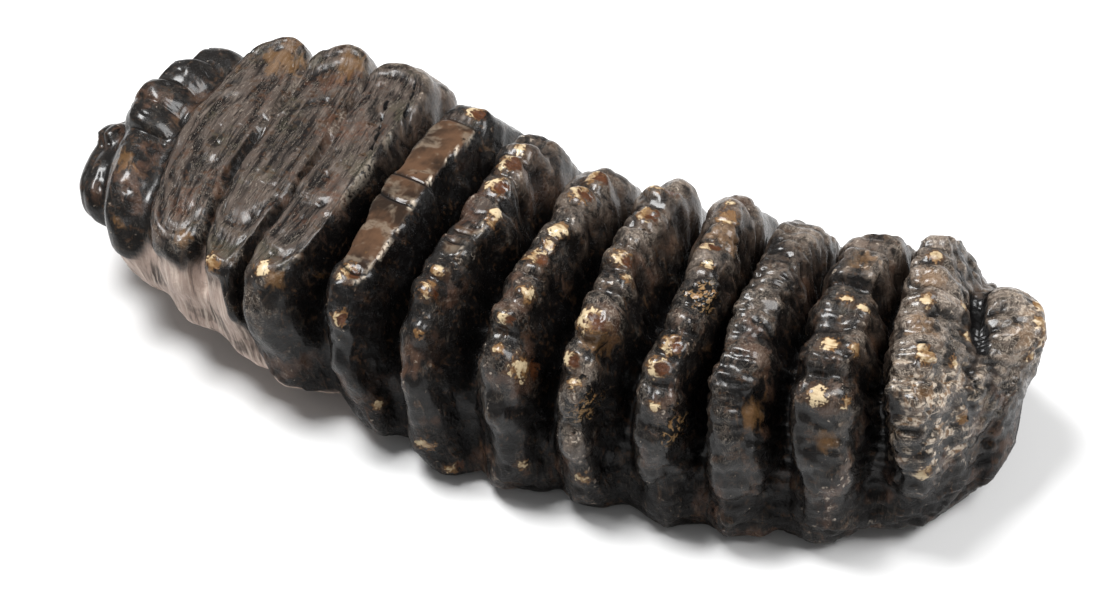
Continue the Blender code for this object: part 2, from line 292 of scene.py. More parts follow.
# %% Place the spots
Spot = namedtuple("Spot", "ridge degrees ahead size kind")
SPOTS = (
    Spot(1, 137, 2, 4, "gold"), Spot(1, 160, 4, 2, "gold"), Spot(2, 46, 3, 5.5, "gold"),
    Spot(2, 148, 6, 2.5, "gold"), Spot(3, 44, 2, 4.5, "gold"), Spot(3, 151, -2, 2, "cream"),
    Spot(4, 143, 0, 2, "cream"), Spot(4, 146, 4, 2.5, "gold"), Spot(5, 47, 0, 2.5, "ring"),
    Spot(5, 132, -1, 2.5, "ring"), Spot(5, 147, 0, 2, "ring"), Spot(5, 178, 5, 1.5, "cream"),
    Spot(6, 56, 0, 1.5, "cream"), Spot(6, 65, -1, 2.5, "ring"), Spot(6, 78, -1, 2.5, "ring"),
    Spot(6, 90, 2, 1.5, "cream"), Spot(6, 95, 2, 1.5, "cream"), Spot(6, 122, 0, 1.5, "cream"),
    Spot(6, 129, 0, 2, "ring"), Spot(6, 142, 1, 1.5, "cream"), Spot(6, 181, 1, 2.5, "cream"),
    Spot(6, 192, 5, 2, "ring"), Spot(7, 55, 0, 2.5, "ring"), Spot(7, 67, 0, 2.5, "ring"),
    Spot(7, 86, 0, 2, "cream"), Spot(7, 94, 0, 1.5, "cream"), Spot(7, 102, -1, 2.5, "ring"),
    Spot(7, 117, 2, 2, "cream"), Spot(7, 127, 0, 1.5, "ring"), Spot(7, 137, 0, 1.5, "cream"),
    Spot(7, 141, 4, 3, "ring"), Spot(7, 179, 4, 1.5, "cream"), Spot(8, 50, -1, 3.5, "ring"),
    Spot(8, 67, 0, 2.5, "ring"), Spot(8, 91, 1, 2.5, "ring"), Spot(8, 98, 3, 1.5, "cream"),
    Spot(8, 120, -1, 3, "ring"), Spot(8, 124, 2, 4.5, "gold"), Spot(8, 133, -3, 2, "ring"),
    Spot(8, 140, 0, 1.5, "cream"), Spot(8, 146, 4, 5.5, "porous"), Spot(8, 177, 2, 1.5, "cream"),
    Spot(9, 56, -1, 1.5, "cream"), Spot(9, 61, 0, 2.5, "cream"), Spot(9, 68, 2, 4.5, "gold"),
    Spot(9, 75, -2, 2, "ring"), Spot(9, 84, -1, 1.5, "cream"), Spot(9, 97, 2, 5, "porous"),
    Spot(9, 118, 0, 2.5, "ring"), Spot(9, 127, -1, 2.5, "ring"), Spot(9, 139, 0, 1.5, "cream"),
    Spot(9, 147, 5, 5.5, "porous"), Spot(10, 136, 6, 3.5, "gold"), Spot(11, 68, 0, 2.5, "gold"),
    Spot(11, 88, -1, 1.5, "cream"), Spot(11, 91, 4, 1.5, "cream"), Spot(11, 109, -1, 2, "cream"),
    Spot(11, 111, 5, 1.5, "cream"), Spot(11, 127, -1, 2, "cream"), Spot(11, 129, 5, 1.5, "cream"),
    Spot(11, 142, 1, 2.5, "gold"), Spot(12, 63, 0, 2, "cream"), Spot(12, 74, 0, 3.5, "gold"),
    Spot(12, 87, 0, 2, "cream"), Spot(12, 99, 0, 3.5, "gold"), Spot(12, 81, 6, 1.5, "cream"),
    Spot(12, 98, 8, 1.5, "cream"), Spot(12, 113, 1, 2.5, "cream"), Spot(12, 127, 1, 4, "gold"),
    Spot(12, 114, 6, 1.5, "cream"), Spot(12, 139, 10, 2, "cream"), Spot(12, 160, 0, 2, "cream"),
    Spot(13, 74, 3, 2.5, "cream"), Spot(13, 92, 4, 2, "cream"), Spot(13, 95, -2, 3, "gold"),
    Spot(13, 86, 1, 2, "cream"), Spot(13, 104, 2, 1.5, "cream"),
)
KINDS = ("cream", "ring", "gold", "porous", "core")
SPOT_RAGGED = 0.8
# ripples of cream and gold, low on the last big ridge and on the last knob
Ripples = namedtuple("Ripples", "phase reach first last")
RIPPLES = (Ripples(12.2, 0.8, 108, 165), Ripples(13.2, 0.6, 60, 112))
RIPPLE_FADE = 10
# the worn core of a ring, as shares of the ring's size: how big it is and how far it sits off centre
CORE_SIZE, CORE_AHEAD = 0.8, 0.55


def spot_masks(points):
    """For each kind of spot 1 at the middle, 0.5 at the rim, and 0 at twice its size and beyond."""
    masks = {kind: np.zeros(len(points)) for kind in KINDS}
    ragged = SPOT_RAGGED * noise_field(points, 4, seed=12.3)
    cores = [
        Spot(spot.ridge, spot.degrees, spot.ahead + CORE_AHEAD * spot.size, CORE_SIZE * spot.size, "core")
        for spot in SPOTS if spot.kind == "ring"
    ]
    for spot in (*SPOTS, *cores):
        phase = np.array([spot.ridge + spot.ahead / RIDGE_PITCH])
        centre = tooth_surface(phase, np.radians([spot.degrees])).points[0]
        off = np.linalg.norm(points - centre, axis=1) + ragged
        masks[spot.kind] = np.maximum(masks[spot.kind], np.clip(1 - off / (2 * spot.size), 0, 1))
    return masks


def ripple_mask(skin):
    """1 on the rippled places and 0 elsewhere."""
    mask = np.zeros(len(skin.phase))
    for place in RIPPLES:
        along = smooth(1 - np.abs(skin.phase - place.phase) / place.reach)
        after = smooth((skin.degrees - place.first) / RIPPLE_FADE)
        before = smooth((place.last - skin.degrees) / RIPPLE_FADE)
        mask = np.maximum(mask, along * after * before)
    return mask


print(len(SPOTS), "spots")

# %% [markdown]
# Amber band
#
# The first unworn ridge after the platform is just touched by wear. Its knobs are ground flat and run
# together into one polished band, amber like agate, with thin dark seams between the old knobs and a
# pale rim of enamel on the steep side.

# %% Mask the band, its seams and its rim
# bands are (ridge, first degrees, last degrees) and seams are (ridge, degrees)
BANDS = ((5, 51, 131), (6, 100, 119))
SEAMS = ((5, 52), (5, 87), (5, 99), (5, 131), (6, 104), (6, 109), (6, 120))
FACE_FROM, FACE_SPAN, BAND_FADE = 0.6, 0.8, 2
SEAM_CHEWED, SEAM_WIDTH = 0.3, 1.2
# the rim is where this much is chewed off, between these degrees, with one strength for each ridge
RIM_CHEWED, RIM_WIDTH, RIM_AHEAD = 0.9, 0.7, 1
RIM_FIRST, RIM_LAST, RIM_FADE = 50, 150, 10
RIM_STRENGTH = (0, 0, 0, 0, 0.3, 0.9, 0.4, 0, 0, 0, 0, 0, 0, 0)


def band_masks(skin):
    """Amber faces, dark seams and the pale rim, from 0 to 1."""
    amber = np.zeros(len(skin.phase))
    seams = np.zeros(len(skin.phase))
    face = smooth((skin.chewed - FACE_FROM) / FACE_SPAN)
    for ridge, first, last in BANDS:
        inside = smooth((0.5 - np.abs(skin.phase - ridge)) / 0.05)
        inside = inside * smooth((skin.degrees - first) / BAND_FADE)
        inside = inside * smooth((last - skin.degrees) / BAND_FADE)
        amber = np.maximum(amber, face * inside)
    for ridge, place in SEAMS:
        inside = (np.abs(skin.phase - ridge) < 0.5) * (skin.chewed > SEAM_CHEWED)
        seams = np.maximum(seams, inside * smooth(SEAM_WIDTH - np.abs(skin.degrees - place)))
    nearest = np.clip(np.rint(skin.phase), 0, LAST).astype(int)
    rim = smooth(1 - np.abs(skin.chewed - RIM_CHEWED) / RIM_WIDTH) * (skin.ahead > RIM_AHEAD)
    rim = rim * smooth((skin.degrees - RIM_FIRST) / RIM_FADE) * smooth((RIM_LAST - skin.degrees) / RIM_FADE)
    rim = rim * np.array(RIM_STRENGTH)[nearest]
    return {"amber": amber, "seams": seams, "rim": rim}


# %% [markdown]
# Root and cracks
#
# Below the ridges the enamel ends in a ragged edge, and the root starts. At the worn end that edge is
# high up and the root is pale and rosy. Four cracks run over the tooth: a long one splits the last big
# ridge, a wide cleft parts that ridge from the last knob, and two are in the worn part. A crack is a
# line through listed stops, whose depth fades sideways.

# %% Mask the root and the cracks
# height of the enamel's lower edge at each ridge, and the waves in it as (height, width, seed)
ENAMEL_EDGE = (25, 29, 42, 42, 14, 5, 2, 1, 1, 1, 1, 1, 1, 1)
EDGE_WAVES, EDGE_STEP = ((6, 15, 3.1), (1.5, 4, 5.2)), 3
# the stops of a crack are (phase, degrees)
CRACK_WANDER, CRACK_STEPS = 0.5, 60
Crack = namedtuple("Crack", "stops width")
CRACKS = (
    Crack(((11.95, 108), (12.2, 108), (12.3, 111), (12.45, 115), (12.6, 124)), 0.9),
    Crack(((12.47, 64), (12.47, 78), (12.5, 90), (12.57, 102)), 4),
    Crack(((3.95, 50), (4.1, 66), (4.2, 80)), 0.7),
    Crack(((4.15, 42), (4.25, 52), (4.35, 60)), 0.7),
)


def root_mask(skin):
    """1 on the bare root and 0 on the enamel."""
    edge = np.interp(skin.phase, range(len(RIDGES)), ENAMEL_EDGE)
    for height, width, seed in EDGE_WAVES:
        edge = edge + height * noise_field(skin.points, width, seed=seed)
    return smooth((edge - skin.points[:, 2]) / EDGE_STEP)


def crack_mask(points):
    """1 in a crack and 0 elsewhere."""
    mask = np.zeros(len(points))
    wander = CRACK_WANDER * noise_field(points, 2.5, seed=7.7)
    for crack in CRACKS:
        stops = np.array(crack.stops, float)
        steps = np.linspace(0, len(stops) - 1, CRACK_STEPS)
        phases = np.interp(steps, range(len(stops)), stops[:, 0])
        angles = np.radians(np.interp(steps, range(len(stops)), stops[:, 1]))
        line = tooth_surface(phases, angles).points
        nearest = np.min([np.linalg.norm(points - spot, axis=1) for spot in line], axis=0)
        mask = np.maximum(mask, smooth(1 - np.abs(nearest + wander) / crack.width))
    return mask


# %% [markdown]
# Fine relief
#
# The relief is pushed along the surface's own normals, so it shows on steep flanks too: soft bulges and
# columns below the knobs, creases in the enamel, folds across some crests, streaks and nested loops on
# the chewed faces, pits, raised rims on the tips and a step down to the root. A sculptor would brush it
# on by hand, but a formula keeps it even over the whole tooth and can be tuned.

# %% Broad relief
# Heights and sizes are in millimetres. The two lists have one number for each ridge.
LOOP_STEP, LOOP_HEIGHT = 2.4, 0.4
CREASE_HEIGHT, WRINKLE_HEIGHT, STREAK_HEIGHT, ROOT_GROOVE = 0.34, 0.12, 0.12, 0.3
BULGE_CREASE, BULGE_HEIGHT = 0.6, 1.9
COLUMN_HEIGHT, COLUMN_REACH = 0.6, 8
FOLD_HEIGHT = (0.1, 0.1, 0, 0, 0, 0.1, 0.15, 0.2, 0.25, 0.3, 1.3, 0.7, 1.3, 0.7)
ROUGHNESS = (0.25, 0.3, 0.6, 0.6, 0.7, 1, 1, 1, 1, 1, 0.75, 0.85, 0.9, 0.8)
# the far wall is smoother than the rest: it starts at this many degrees and is full FAR_SPAN below them
FAR_SMOOTHNESS, FAR_FROM, FAR_SPAN = 0.45, 60, 25


def loop_mask(skin):
    """Nested loops round the chewed crests, from -1 to 1."""
    step = skin.chewed / LOOP_STEP + 0.22 * noise_field(skin.points, 9, seed=4.4)
    return np.cos(2 * np.pi * step)


def fine_creases(skin, masks, worn):
    """Creases and folds in the enamel, and streaks and loops where it is chewed."""
    fold_height = np.interp(skin.phase, range(len(RIDGES)), FOLD_HEIGHT)
    folds = creases(skin.straight, 3.4, stretch=(4, 1, 1), seed=1.3)
    height = CREASE_HEIGHT * creases(skin.points, 4.2, seed=2.9)
    height = height + WRINKLE_HEIGHT * creases(skin.points, 2.0, seed=4.9)
    height = height * (1 - worn) + fold_height * folds * (1 - worn)
    streaks = creases(skin.straight, 2.0, stretch=(1, 6, 6), seed=6.6)
    height = height + worn * (LOOP_HEIGHT * masks["loops"] + STREAK_HEIGHT * streaks)
    grooves = creases(skin.straight, 2.4, stretch=(1, 4, 5), seed=8.1)
    return height + masks["root"] * ROOT_GROOVE * grooves


def soft_bulges(skin, masks):
    """Uneven growth, and the columns that run down from the knobs."""
    bulges = BULGE_CREASE * creases(skin.points, 9, seed=11.1)
    bulges = bulges + BULGE_HEIGHT * noise_field(skin.straight, 9, stretch=(0.8, 1, 1.7), seed=16.6)
    columns = COLUMN_HEIGHT * skin.column * np.clip(1 - (skin.ahead / COLUMN_REACH) ** 2, 0, 1)
    return bulges + columns * (1 - masks["calm"])


def broad_relief(skin, masks):
    """Height of the creases and bulges, calmer where the tooth is worn, polished or root."""
    worn = smooth((skin.chewed - 0.6) / 1.2) * (1 - masks["amber"])
    smoothness = np.maximum(masks["amber"], 0.6 * masks["root"])
    height = fine_creases(skin, masks, worn) * (1 - smoothness)
    height = height + soft_bulges(skin, masks) * (1 - 0.8 * worn) * (1 - 0.85 * masks["amber"])
    height = height * (1 - masks["calm"] * (1 - worn))
    return height * (1 - FAR_SMOOTHNESS * smooth((FAR_FROM - skin.degrees) / FAR_SPAN))


# %% Small relief
PIT_DEPTH, HOLE_DEPTH, ROOT_STEP = 0.5, 0.8, 1.0
CREAM_HEIGHT, RING_HEIGHT, RIM_HEIGHT = 0.5, 0.6, 0.3
CORE_DEPTH, SEAM_DEPTH, CRACK_DEPTH = 1.1, 0.5, 1.6
# above this height the relief is pressed flatter, so that the tooth keeps its size
RELIEF_TOP, PRESSED = 1, 0.4
FULL_RAISED = 1.8


def small_relief(skin, masks):
    """Height of the pits, tips, seams and cracks."""
    pits = smooth((noise_field(skin.points, 2.6, seed=8.8) - 0.38) / 0.2)
    holes = smooth((noise_field(skin.points, 1.8, seed=15.5) - 0.1) / 0.2)
    height = CREAM_HEIGHT * smooth(2 * masks["cream"]) + RING_HEIGHT * smooth(2 * masks["ring"])
    height = height + RIM_HEIGHT * masks["rim"]
    height = height - CORE_DEPTH * smooth((masks["core"] - 0.4) / 0.3)
    height = height - PIT_DEPTH * pits * (1 - masks["amber"]) - ROOT_STEP * masks["root"]
    height = height - SEAM_DEPTH * masks["seams"] - CRACK_DEPTH * masks["crack"]
    return height - HOLE_DEPTH * smooth(2 * masks["porous"]) * holes


def relief(skin, masks):
    """Fine height of the surface along its normal, and a mask of where it stands proud."""
    broad = broad_relief(skin, masks)
    masks["raised"] = np.clip(broad / FULL_RAISED, -1, 1) * (1 - masks["root"])
    height = broad + small_relief(skin, masks)
    height = np.minimum(height, RELIEF_TOP + PRESSED * (height - RELIEF_TOP))
    return height * smooth(skin.points[:, 2] / 4)


# %% [markdown]
# The fine mesh
#
# A sphere has just the right layout: its parallels become the rings along the tooth, and its poles
# close the two ends. Every vertex is moved to its place by the function above. More of the segments go
# to the crests than to the underside, which nobody sees. A grid would work too, but would need closing.

# %% Masks for the relief and the colours
# How pale the enamel is at each ridge: 1 is brown-grey, 0 is dark and below 0 is black
PALE = (0.05, 0, 0.3, 0.3, 0.5, -0.4, 0.05, 0.2, 0.35, 0.15, 0.3, 0.1, 1.1, 1.1)
# paleness and gloss start at a height in millimetres, and are full this far above it
PALE_FROM, PALE_SPAN = 20, 26
GLOSS_FROM, GLOSS_SPAN = 12, 26
# the upper part fades down the near side, by degrees, and starts after the second ridge
UPPER_FROM, UPPER_SPAN, UPPER_RIDGE, UPPER_FADE = 115, 70, 1.4, 0.5
# the last ridges are paler on top and darker low on the near side
LATE_RIDGE, LATE_FADE, LATE_UPPER, LATE_DARKER = 9.3, 1.5, 0.45, 0.6
LOW_FROM, LOW_SPAN = 105, 25


def relief_masks(skin):
    """What the relief has to know of each place."""
    masks = {"root": root_mask(skin), "crack": crack_mask(skin.points)}
    masks.update(spot_masks(skin.points))
    masks.update(band_masks(skin))
    masks.update(loops=loop_mask(skin), ripples=ripple_mask(skin))
    masks["calm"] = 1 - np.interp(skin.phase, range(len(RIDGES)), ROUGHNESS)
    return masks


def colour_masks(skin):
    """What the colours have to know of each place besides."""
    height = skin.points[:, 2]
    late = smooth((skin.phase - LATE_RIDGE) / LATE_FADE)
    low_near = smooth((skin.degrees - LOW_FROM) / LOW_SPAN)
    upper = smooth((UPPER_FROM - skin.degrees) / UPPER_SPAN)
    upper = upper * smooth((skin.phase - UPPER_RIDGE) / UPPER_FADE)
    pale = np.interp(skin.phase, range(len(PALE)), PALE)
    pale = pale * smooth((height - PALE_FROM) / PALE_SPAN)
    return {
        "chewed": skin.chewed,
        "hollow": skin.hollow,
        "phase": skin.phase,
        "upper": np.maximum(upper, LATE_UPPER * late * (1 - low_near)),
        "lift": smooth((height - GLOSS_FROM) / GLOSS_SPAN),
        "pale": pale * (1 - LATE_DARKER * late * low_near),
    }


# %% Build the tooth
RINGS, SEGMENTS = 392, 240
# how strongly the segments gather on the chewing face
CROWDING = 0.5


def place_on_tooth(bm):
    """The phase and the angle that each vertex of the sphere gets."""
    sphere = np.array([vert.co for vert in bm.verts])
    down = np.arccos(np.clip(sphere[:, 2], -1, 1)) / math.pi
    phase = down * (LAST + 2 * CAP_SPAN) - CAP_SPAN
    longitude = np.arctan2(sphere[:, 1], sphere[:, 0])
    return phase, (longitude + CROWDING * np.cos(longitude)) % math.tau


def move_vertices(bm, points):
    for vert, point in zip(bm.verts, points * MM):
        vert.co = point


def store_masks(mesh, masks, straight):
    """Keeps the masks and the straightened places on the mesh, for the material."""
    for key, values in masks.items():
        mesh.attributes.new(key, "FLOAT", "POINT").data.foreach_set("value", values.astype(np.float32))
    places = mesh.attributes.new("straight", "FLOAT_VECTOR", "POINT")
    places.data.foreach_set("vector", straight.astype(np.float32).ravel())


def build_tooth(name):
    """Moulds a sphere into the tooth, with its relief and its masks."""
    bm = bmesh.new()
    bmesh.ops.create_uvsphere(bm, u_segments=SEGMENTS, v_segments=RINGS, radius=1)
    phase, angle = place_on_tooth(bm)
    skin = tooth_surface(phase, angle, lump_heights(tooth_surface(phase, angle).points))
    masks = relief_masks(skin)
    move_vertices(bm, skin.points)
    bmesh.ops.recalc_face_normals(bm, faces=bm.faces[:])
    bm.normal_update()
    normals = np.array([vert.normal for vert in bm.verts])
    points = skin.points + normals * relief(skin, masks)[:, None]
    points[:, 2] = np.maximum(points[:, 2], 0)
    move_vertices(bm, points)
    masks.update(colour_masks(skin))

    mesh = bpy.data.meshes.new(name)
    bm.to_mesh(mesh)
    bm.free()
    store_masks(mesh, masks, skin.straight)
    mesh.shade_smooth()
    tooth = bpy.data.objects.new(name, mesh)
    bpy.context.scene.collection.objects.link(tooth)
    return tooth


tooth = build_tooth("molar_surface")
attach(tooth, "root")
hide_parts("molar")
print("tooth has", len(tooth.data.polygons), "faces")

# %% [markdown]
# Shader maths in Python
#
# A material is a graph of nodes. Wrapping a socket in a small class with operators lets the graph be
# written as sums, so that a mask reads as a formula. Building the same graph by hand in the editor
# would take the same nodes, but hides the formula.

# %% A small graph helper
class Socket:
    """An output socket that can be used in sums."""

    def __init__(self, graph, output):
        self.graph = graph
        self.output = output

    def math(self, operation, first, second=0.0):
        return self.graph.node("ShaderNodeMath", {"operation": operation}, {0: first, 1: second})

    def __add__(self, other):
        return self.math("ADD", self, other)

    def __radd__(self, other):
        return self.math("ADD", other, self)

    def __sub__(self, other):
        return self.math("SUBTRACT", self, other)

    def __rsub__(self, other):
        return self.math("SUBTRACT", other, self)

    def __mul__(self, other):
        return self.math("MULTIPLY", self, other)

    def __rmul__(self, other):
        return self.math("MULTIPLY", other, self)

    def __abs__(self):
        return self.math("ABSOLUTE", self)


# A Mix node has sockets for numbers, vectors and colours under the same names, so these go by number
MIX_FACTOR, MIX_FIRST, MIX_SECOND, MIX_RESULT = 0, 6, 7, 2


class Graph:
    """The node tree of one material."""

    def __init__(self, material):
        material.use_nodes = True
        self.tree = material.node_tree
        self.shader = self.tree.nodes["Principled BSDF"]

    def node(self, kind, settings, inputs, output=0):
        node = self.tree.nodes.new(kind)
        for key, value in settings.items():
            setattr(node, key, value)
        for key, value in inputs.items():
            self.feed(node.inputs[key], value)
        return Socket(self, node.outputs[output])

    def feed(self, socket, value):
        if isinstance(value, Socket):
            self.tree.links.new(value.output, socket)
        else:
            socket.default_value = value

    def attribute(self, name, output="Fac"):
        return self.node("ShaderNodeAttribute", {"attribute_name": name}, {}, output)

    def noise(self, place, size, stretch=(1, 1, 1), detail=3, roughness=0.55, distortion=0.0):
        """Noise around 0.5, with features of the given size in the place's units, stretched by axis."""
        scale = [1 / (size * factor) for factor in stretch]
        place = self.node("ShaderNodeMapping", {}, {"Vector": place, "Scale": scale})
        inputs = {"Vector": place, "Scale": 1, "Detail": detail}
        inputs.update({"Roughness": roughness, "Distortion": distortion})
        return self.node("ShaderNodeTexNoise", {}, inputs, "Fac")

    def ramp(self, value, low, high):
        """0 at low, 1 at high and a soft step between."""
        if low > high:
            return 1 - self.ramp(value, high, low)
        inputs = {"Value": value, "From Min": low, "From Max": high}
        return self.node("ShaderNodeMapRange", {"interpolation_type": "SMOOTHSTEP"}, inputs)

    def threads(self, value, width):
        """Thin lines where a noise crosses its middle."""
        return self.ramp(abs(value - 0.5), width, 0)

    def mix(self, factor, first, second):
        """Colour between two colours."""
        inputs = {MIX_FACTOR: factor, MIX_FIRST: first, MIX_SECOND: second}
        return self.node("ShaderNodeMix", {"data_type": "RGBA"}, inputs, MIX_RESULT)


# %% [markdown]
# Colours
#
# Minerals stained this tooth dark brown-grey on the ridges and dark in the valleys, with rust and olive
# where it is worn. The near black of the valleys and creases is partly painted shade. The colours are
# named for what they stand for on the tooth, and written with the 0 to 255 values that a colour picker
# shows, because those are easy to compare with a picture.

# %% Colours of the fossil
def colour(red, green, blue):
    """Linear colour from the values of a colour picker."""
    def linear(value):
        value = value / 255
        return value / 12.92 if value < 0.04045 else ((value + 0.055) / 1.055) ** 2.4
    return (linear(red), linear(green), linear(blue), 1)


# black for stains, seams and cracks, and for the painted shade of valleys and creases
STAIN_AND_SHADE_BLACK = colour(9, 8, 8)
FLANK_BLACK = colour(18, 16, 15)
FLANK_BROWN = colour(54, 45, 39)
CREST_BROWN = colour(50, 43, 37)
CREST_GREY = colour(104, 93, 84)
# pale streaks and fibres, and the painted glints of wisps and flecks
STREAK_AND_GLINT_GREY = colour(176, 164, 150)
WORN_DARK = colour(20, 17, 16)
WORN_LIGHT = colour(64, 56, 51)
WORN_PALE = colour(108, 98, 90)
FLANK_RUST = colour(76, 54, 42)
RUST = colour(84, 54, 38)
OLIVE = colour(66, 63, 50)
AMBER_DARK = colour(36, 27, 21)
AMBER_LIGHT = colour(78, 57, 42)
AGATE_GREY = colour(108, 97, 84)
GOLD = colour(112, 82, 50)
HALO = colour(58, 42, 30)
CREAM = colour(186, 168, 136)
CREAM_BROWN = colour(126, 101, 70)
CORE_BROWN = colour(92, 54, 30)
RIM_CREAM = colour(200, 186, 168)
ROOT_ROSE = colour(166, 147, 136)
ROOT_STREAK = colour(210, 194, 181)
ROOT_DARK = colour(36, 32, 30)

# %% [markdown]
# What the finish reads
#
# The finish has to know where it is on the tooth. The masks stored on the mesh tell it, and noises of
# several sizes break up every edge. Some noises are looked up in the straightened tooth, so they run
# down the flanks as drips, or along the ridges as bands. Painting an image would give the same control,
# but would need an unwrapped tooth and couldn't be tuned.

# %% Masks and noises for the material
MASKS = (
    "chewed", "hollow", "phase", "calm", "raised", "lift", "upper", "pale", "root", "crack", "seams",
    "rim", "amber", "loops", "cream", "ring", "core", "gold", "porous", "ripples",
)


def read_masks(graph):
    """The masks stored on the mesh, with two that follow from them."""
    mask = SimpleNamespace(**{name: graph.attribute(name) for name in MASKS})
    mask.crest = graph.ramp(mask.hollow, 5, 0.2)
    mask.worn = graph.ramp(mask.chewed, 0.6, 1.8)
    return mask


def read_noises(graph):
    """Noises from broad clouds to fine specks. Those from straight are stretched along the tooth's axes."""
    place = graph.node("ShaderNodeTexCoord", {}, {}, "Object")
    straight = graph.attribute("straight", "Vector")
    grain = SimpleNamespace()
    grain.cloud = graph.noise(place, 14 * MM, detail=3)
    grain.mottle = graph.noise(place, 5 * MM, detail=3, roughness=0.5, distortion=0.4)
    grain.speck = graph.noise(place, 1.5 * MM, detail=2, roughness=0.5, distortion=0.5)
    grain.wisp = graph.noise(place, 4 * MM, detail=5, roughness=0.62, distortion=2.2)
    grain.drip = graph.noise(
        straight, 2.6, stretch=(1, 1.6, 2.6), detail=4, roughness=0.55, distortion=0.8)
    grain.streak = graph.noise(
        straight, 1.3, stretch=(1, 9, 9), detail=4, roughness=0.65, distortion=0.3)
    grain.fold = graph.noise(
        straight, 1.8, stretch=(6, 1, 1), detail=3, roughness=0.55, distortion=0.4)
    grain.band = graph.noise(
        straight, 2.1, stretch=(1, 13, 13), detail=3, roughness=0.5, distortion=0.5)
    grain.ragged = 1.2 * (grain.speck - 0.5) + 1.2 * (grain.mottle - 0.5) + 1.0 * (grain.fold - 0.5)
    grain.pores = graph.ramp(grain.speck, 0.44, 0.52)
    return grain


print(len(MASKS), "masks")

# %% [markdown]
# Enamel
#
# On the real tooth minerals have stained the enamel nearly black in the valleys, and the crests are
# paler. Two mixtures, one for flanks and one for crests, are laid over each other where the tooth stands
# proud, with the bulges and upper parts paler as painted light. Then the valleys and creases are
# darkened further with painted shade, and fine pale wisps and flecks go on top, partly as painted glints.

# %% Colour of the unworn enamel
def enamel_colour(graph, mask, grain):
    # painted light: the upper part and the bulges (upper, raised) come out browner and paler, as if lit
    brownness = grain.drip + 0.5 * grain.cloud + 0.2 * mask.upper + 0.3 * mask.pale
    flank = graph.mix(graph.ramp(brownness, 0.79, 1.08), FLANK_BLACK, FLANK_BROWN)
    flank = graph.mix(0.6 * graph.ramp(grain.cloud + 0.5 * grain.drip, 0.78, 0.95), flank, FLANK_RUST)
    greyness = grain.fold + 0.6 * grain.drip + 0.2 * mask.raised
    ridge = graph.mix(graph.ramp(greyness, 0.70, 1.05), CREST_BROWN, CREST_GREY)
    blotch = graph.ramp(grain.mottle + 0.6 * grain.drip + 0.2 * mask.raised, 0.83, 0.63)
    ridge = graph.mix(0.85 * blotch, ridge, FLANK_BLACK)
    paleness = mask.pale * mask.crest + 0.35 * mask.upper + 0.9 * grain.drip
    paleness = paleness + 0.6 * grain.mottle + 0.3 * mask.raised
    return graph.mix(graph.ramp(paleness, 0.95, 1.7), flank, ridge)


def with_depth(graph, mask, grain, skin):
    """Adds faint fibres, then painted shade in the creases and valleys, over the valleys' own stain."""
    fibres = graph.threads(grain.streak, 0.02) * graph.ramp(grain.mottle + 0.4 * grain.cloud, 0.62, 0.85)
    skin = graph.mix(0.16 * fibres * (1 - mask.calm), skin, STREAK_AND_GLINT_GREY)
    # painted shade over the valleys' own dark stain: black with depth, less in the upper part as if lit
    # there
    skin = graph.mix(graph.ramp(mask.hollow - 4 * mask.upper, 2, 13), skin, STAIN_AND_SHADE_BLACK)
    skin = graph.mix(0.8 * graph.ramp(mask.pale, -0.02, -0.2), skin, STAIN_AND_SHADE_BLACK)
    # painted shade in the creases, where the relief lies low
    return graph.mix(0.85 * graph.ramp(mask.raised, -0.15, -0.6), skin, STAIN_AND_SHADE_BLACK)


def with_wisps(graph, mask, grain, skin):
    """Adds pale wisps on the pale ridges and flecks on all crests, partly painted glints."""
    patchy = graph.ramp(grain.mottle + 0.3 * mask.crest + 0.4 * grain.cloud + 0.3 * mask.raised, 0.80, 1.15)
    patchy = patchy * graph.ramp(mask.pale, -0.05, 0.6)
    # painted glints: the pale wisps and flecks stand for light caught by fine ridges, partly pale streaks
    skin = graph.mix(0.7 * graph.threads(grain.wisp, 0.022) * patchy, skin, STREAK_AND_GLINT_GREY)
    skin = graph.mix(0.5 * graph.threads(grain.drip, 0.012) * patchy, skin, STREAK_AND_GLINT_GREY)
    flecks = graph.ramp(grain.speck + 0.5 * grain.drip + 0.1 * mask.raised, 0.93, 1.03) * mask.crest
    return graph.mix(0.6 * flecks, skin, STREAK_AND_GLINT_GREY)


# %% [markdown]
# Chewed faces
#
# Chewing has ground through the enamel, so the platform shows layers of enamel and dentine on edge, as
# bands along the ridges and loops within loops. On the first ridge after it the same layers are polished
# to an amber band with a pale rim.

# %% Colour of the worn faces and the amber band
def with_chewed_faces(graph, mask, grain, skin):
    bare = graph.mix(graph.ramp(grain.band + 0.16 * mask.loops, 0.34, 0.62), WORN_DARK, WORN_LIGHT)
    bare = graph.mix(0.6 * graph.ramp(grain.streak + 0.3 * grain.mottle, 0.66, 0.88), bare, WORN_PALE)
    bare = graph.mix(0.5 * graph.ramp(grain.cloud + 0.5 * grain.speck, 0.82, 1.05), bare, RUST)
    bare = graph.mix(0.4 * graph.ramp(grain.cloud - 0.4 * grain.speck, 0.28, 0.14), bare, OLIVE)
    bare = graph.mix(0.85 * graph.threads(grain.band, 0.028), bare, FLANK_BLACK)
    bare = graph.mix(0.4 * graph.threads(grain.streak, 0.008), bare, STREAK_AND_GLINT_GREY)
    return graph.mix(mask.worn, skin, bare)


def with_amber_band(graph, mask, grain, skin):
    warmth = grain.cloud + 0.4 * grain.mottle + 0.15 * grain.streak
    agate = graph.mix(graph.ramp(warmth, 0.62, 0.95), AMBER_DARK, AMBER_LIGHT)
    agate = graph.mix(0.6 * graph.ramp(grain.mottle - 0.4 * grain.cloud, 0.28, 0.44), agate, AGATE_GREY)
    skin = graph.mix(mask.amber, skin, agate)
    return graph.mix(mask.rim * graph.ramp(grain.speck, 0.35, 0.55), skin, RIM_CREAM)


# %% [markdown]
# Tips
#
# A rubbed tip is cream where the enamel is thin, with a brown halo round it and a dark core where it is
# gone. Each layer takes the same spot mask with its own threshold, and ragged noise breaks the circle.

